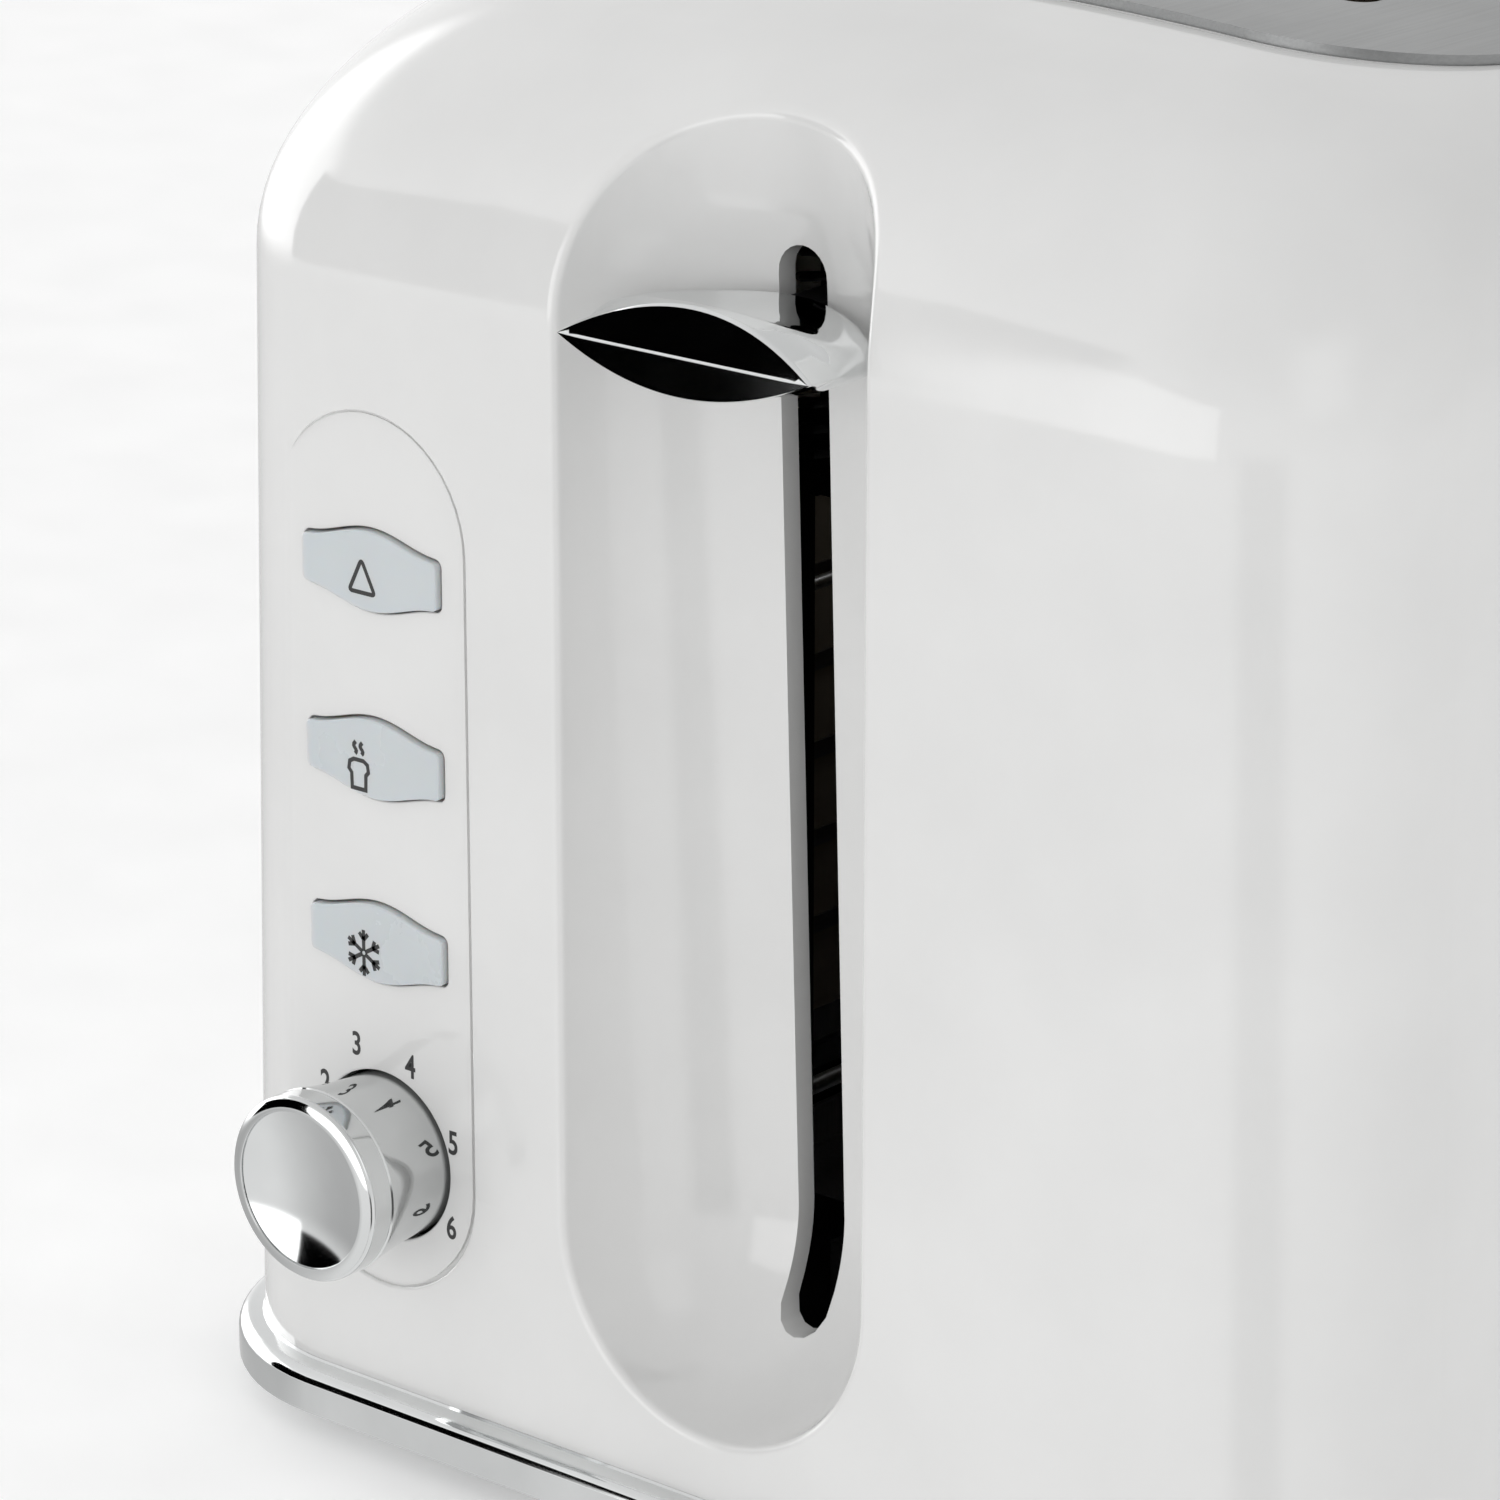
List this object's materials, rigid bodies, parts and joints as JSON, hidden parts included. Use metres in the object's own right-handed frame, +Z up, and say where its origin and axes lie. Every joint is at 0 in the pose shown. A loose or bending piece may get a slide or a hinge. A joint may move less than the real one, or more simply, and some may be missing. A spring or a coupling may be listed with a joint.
{
  "type": "pop up toaster",
  "caption": "Upright pop-up toaster with long bread slots in a steel top, an end lever in a scoop, push buttons, a browning knob and a slide-out crumb tray.",
  "frame": {"origin": "under the middle of the whole object's box, on the plane that the feet stand on", "axes": "+Z up, the lever and control end faces -Y, +X to the right when looking at that end"},
  "size_m": [0.187, 0.2988, 0.1928],
  "materials": {
    "white_gloss": "glossy moulded white plastic",
    "brushed_top": "brushed steel, grain along the toaster",
    "chrome_trim": "polished chrome plating",
    "chrome_lever": "polished chrome plating",
    "chrome_knob": "polished chrome plating, satin dished face",
    "black_plastic": "fine-grained black plastic",
    "foot_rubber": "matt black rubber",
    "steel_sheet": "plain aluminised steel sheet",
    "bright_sheet": "bright reflector sheet",
    "zinc_screw": "zinc plated",
    "mica": "pressed mica sheet",
    "heating_ribbon": "oxidised heating ribbon",
    "steel_wire": "bright steel wire",
    "spring_steel": "drawn spring wire",
    "ivory_plastic": "natural nylon",
    "button_plastic": "satin translucent plastic, faintly blue",
    "magnet_iron": "laminated iron",
    "copper_coil": "enamelled copper winding",
    "board_green": "solder mask",
    "component_black": "moulded component bodies",
    "led_clear": "clear lens"
  },
  "bodies": {
    "base": {"housing": "white_gloss", "top_plate": "brushed_top", "base_trim": "chrome_trim", "base_plate": "black_plastic", "feet": "foot_rubber", "base_screws": "zinc_screw", "cord_gland": "black_plastic", "chassis_front": "steel_sheet", "chassis_rear": "steel_sheet", "reflector_left": "bright_sheet", "reflector_right": "bright_sheet", "heater_board_left": "mica", "heater_board_centre": "mica", "heater_board_right": "mica", "heater_wire_left": "heating_ribbon", "heater_wire_centre": "heating_ribbon", "heater_wire_right": "heating_ribbon", "guide_rods": "steel_wire", "stop_bumpers": "foot_rubber", "magnet_core": "magnet_iron", "magnet_coil": "copper_coil", "switch_block": "component_black", "pcb": "board_green", "potentiometer": "component_black", "tact_switches": "component_black", "button_guide": "ivory_plastic", "indicator_leds": "led_clear", "terminal_block": "ivory_plastic", "thermal_fuse": "steel_sheet"},
    "lever": {"carriage": "steel_sheet", "carriage_bushes": "ivory_plastic", "lever_arm": "steel_sheet", "lever_handle": "chrome_lever", "armature": "magnet_iron", "bread_rack_left": "steel_sheet", "bread_rack_right": "steel_sheet", "lift_springs": "spring_steel"},
    "knob": {"knob": "chrome_knob", "knob_spindle": "steel_sheet"},
    "cancel_button": {"button_cancel": "button_plastic"},
    "reheat_button": {"button_reheat": "button_plastic"},
    "defrost_button": {"button_defrost": "button_plastic"},
    "crumb_drawer": {"crumb_tray": "steel_sheet", "tray_handle": "white_gloss"},
    "guard_left_outer_grid": {"guard_left_outer": "steel_wire"},
    "guard_left_inner_grid": {"guard_left_inner": "steel_wire"},
    "guard_right_inner_grid": {"guard_right_inner": "steel_wire"},
    "guard_right_outer_grid": {"guard_right_outer": "steel_wire"}
  },
  "joints": [
    {"name": "lever_slide", "type": "slide", "parent": "base", "child": "lever", "axis": [0, 0, 1], "range_m": [-0.11, 0], "stiffness_N_per_m": 40, "springref_m": 0.15, "deforming": ["lift_springs"]},
    {"name": "knob_turn", "type": "hinge", "parent": "base", "child": "knob", "pos_m": [-0.054, -0.13465, 0.0415], "axis": [0, -1, 0], "range_deg": [-123, 123]},
    {"name": "cancel_press", "type": "slide", "parent": "base", "child": "cancel_button", "axis": [0, 1, 0], "range_m": [0, 0.0012], "stiffness_N_per_m": 300, "springref_m": -0.002},
    {"name": "reheat_press", "type": "slide", "parent": "base", "child": "reheat_button", "axis": [0, 1, 0], "range_m": [0, 0.0012], "stiffness_N_per_m": 300, "springref_m": -0.002},
    {"name": "defrost_press", "type": "slide", "parent": "base", "child": "defrost_button", "axis": [0, 1, 0], "range_m": [0, 0.0012], "stiffness_N_per_m": 300, "springref_m": -0.002},
    {"name": "crumb_tray_slide", "type": "slide", "parent": "base", "child": "crumb_drawer", "axis": [0, 1, 0], "range_m": [0, 0.22]},
    {"name": "guard_left_outer_tilt", "type": "hinge", "parent": "base", "child": "guard_left_outer_grid", "pos_m": [-0.046, 0.00535, 0.03], "axis": [0, 1, 0], "range_deg": [0, 4]},
    {"name": "guard_left_inner_tilt", "type": "hinge", "parent": "base", "child": "guard_left_inner_grid", "pos_m": [-0.012, 0.00535, 0.03], "axis": [0, 1, 0], "range_deg": [-4, 0]},
    {"name": "guard_right_inner_tilt", "type": "hinge", "parent": "base", "child": "guard_right_inner_grid", "pos_m": [0.012, 0.00535, 0.03], "axis": [0, 1, 0], "range_deg": [0, 4]},
    {"name": "guard_right_outer_tilt", "type": "hinge", "parent": "base", "child": "guard_right_outer_grid", "pos_m": [0.046, 0.00535, 0.03], "axis": [0, 1, 0], "range_deg": [-4, 0]}
  ],
  "couplings": [
    {"joint": "guard_left_outer_tilt", "follows": "lever_slide", "rad_per_m": -0.63},
    {"joint": "guard_left_inner_tilt", "follows": "lever_slide", "rad_per_m": 0.63},
    {"joint": "guard_right_inner_tilt", "follows": "lever_slide", "rad_per_m": -0.63},
    {"joint": "guard_right_outer_tilt", "follows": "lever_slide", "rad_per_m": 0.63}
  ]
}
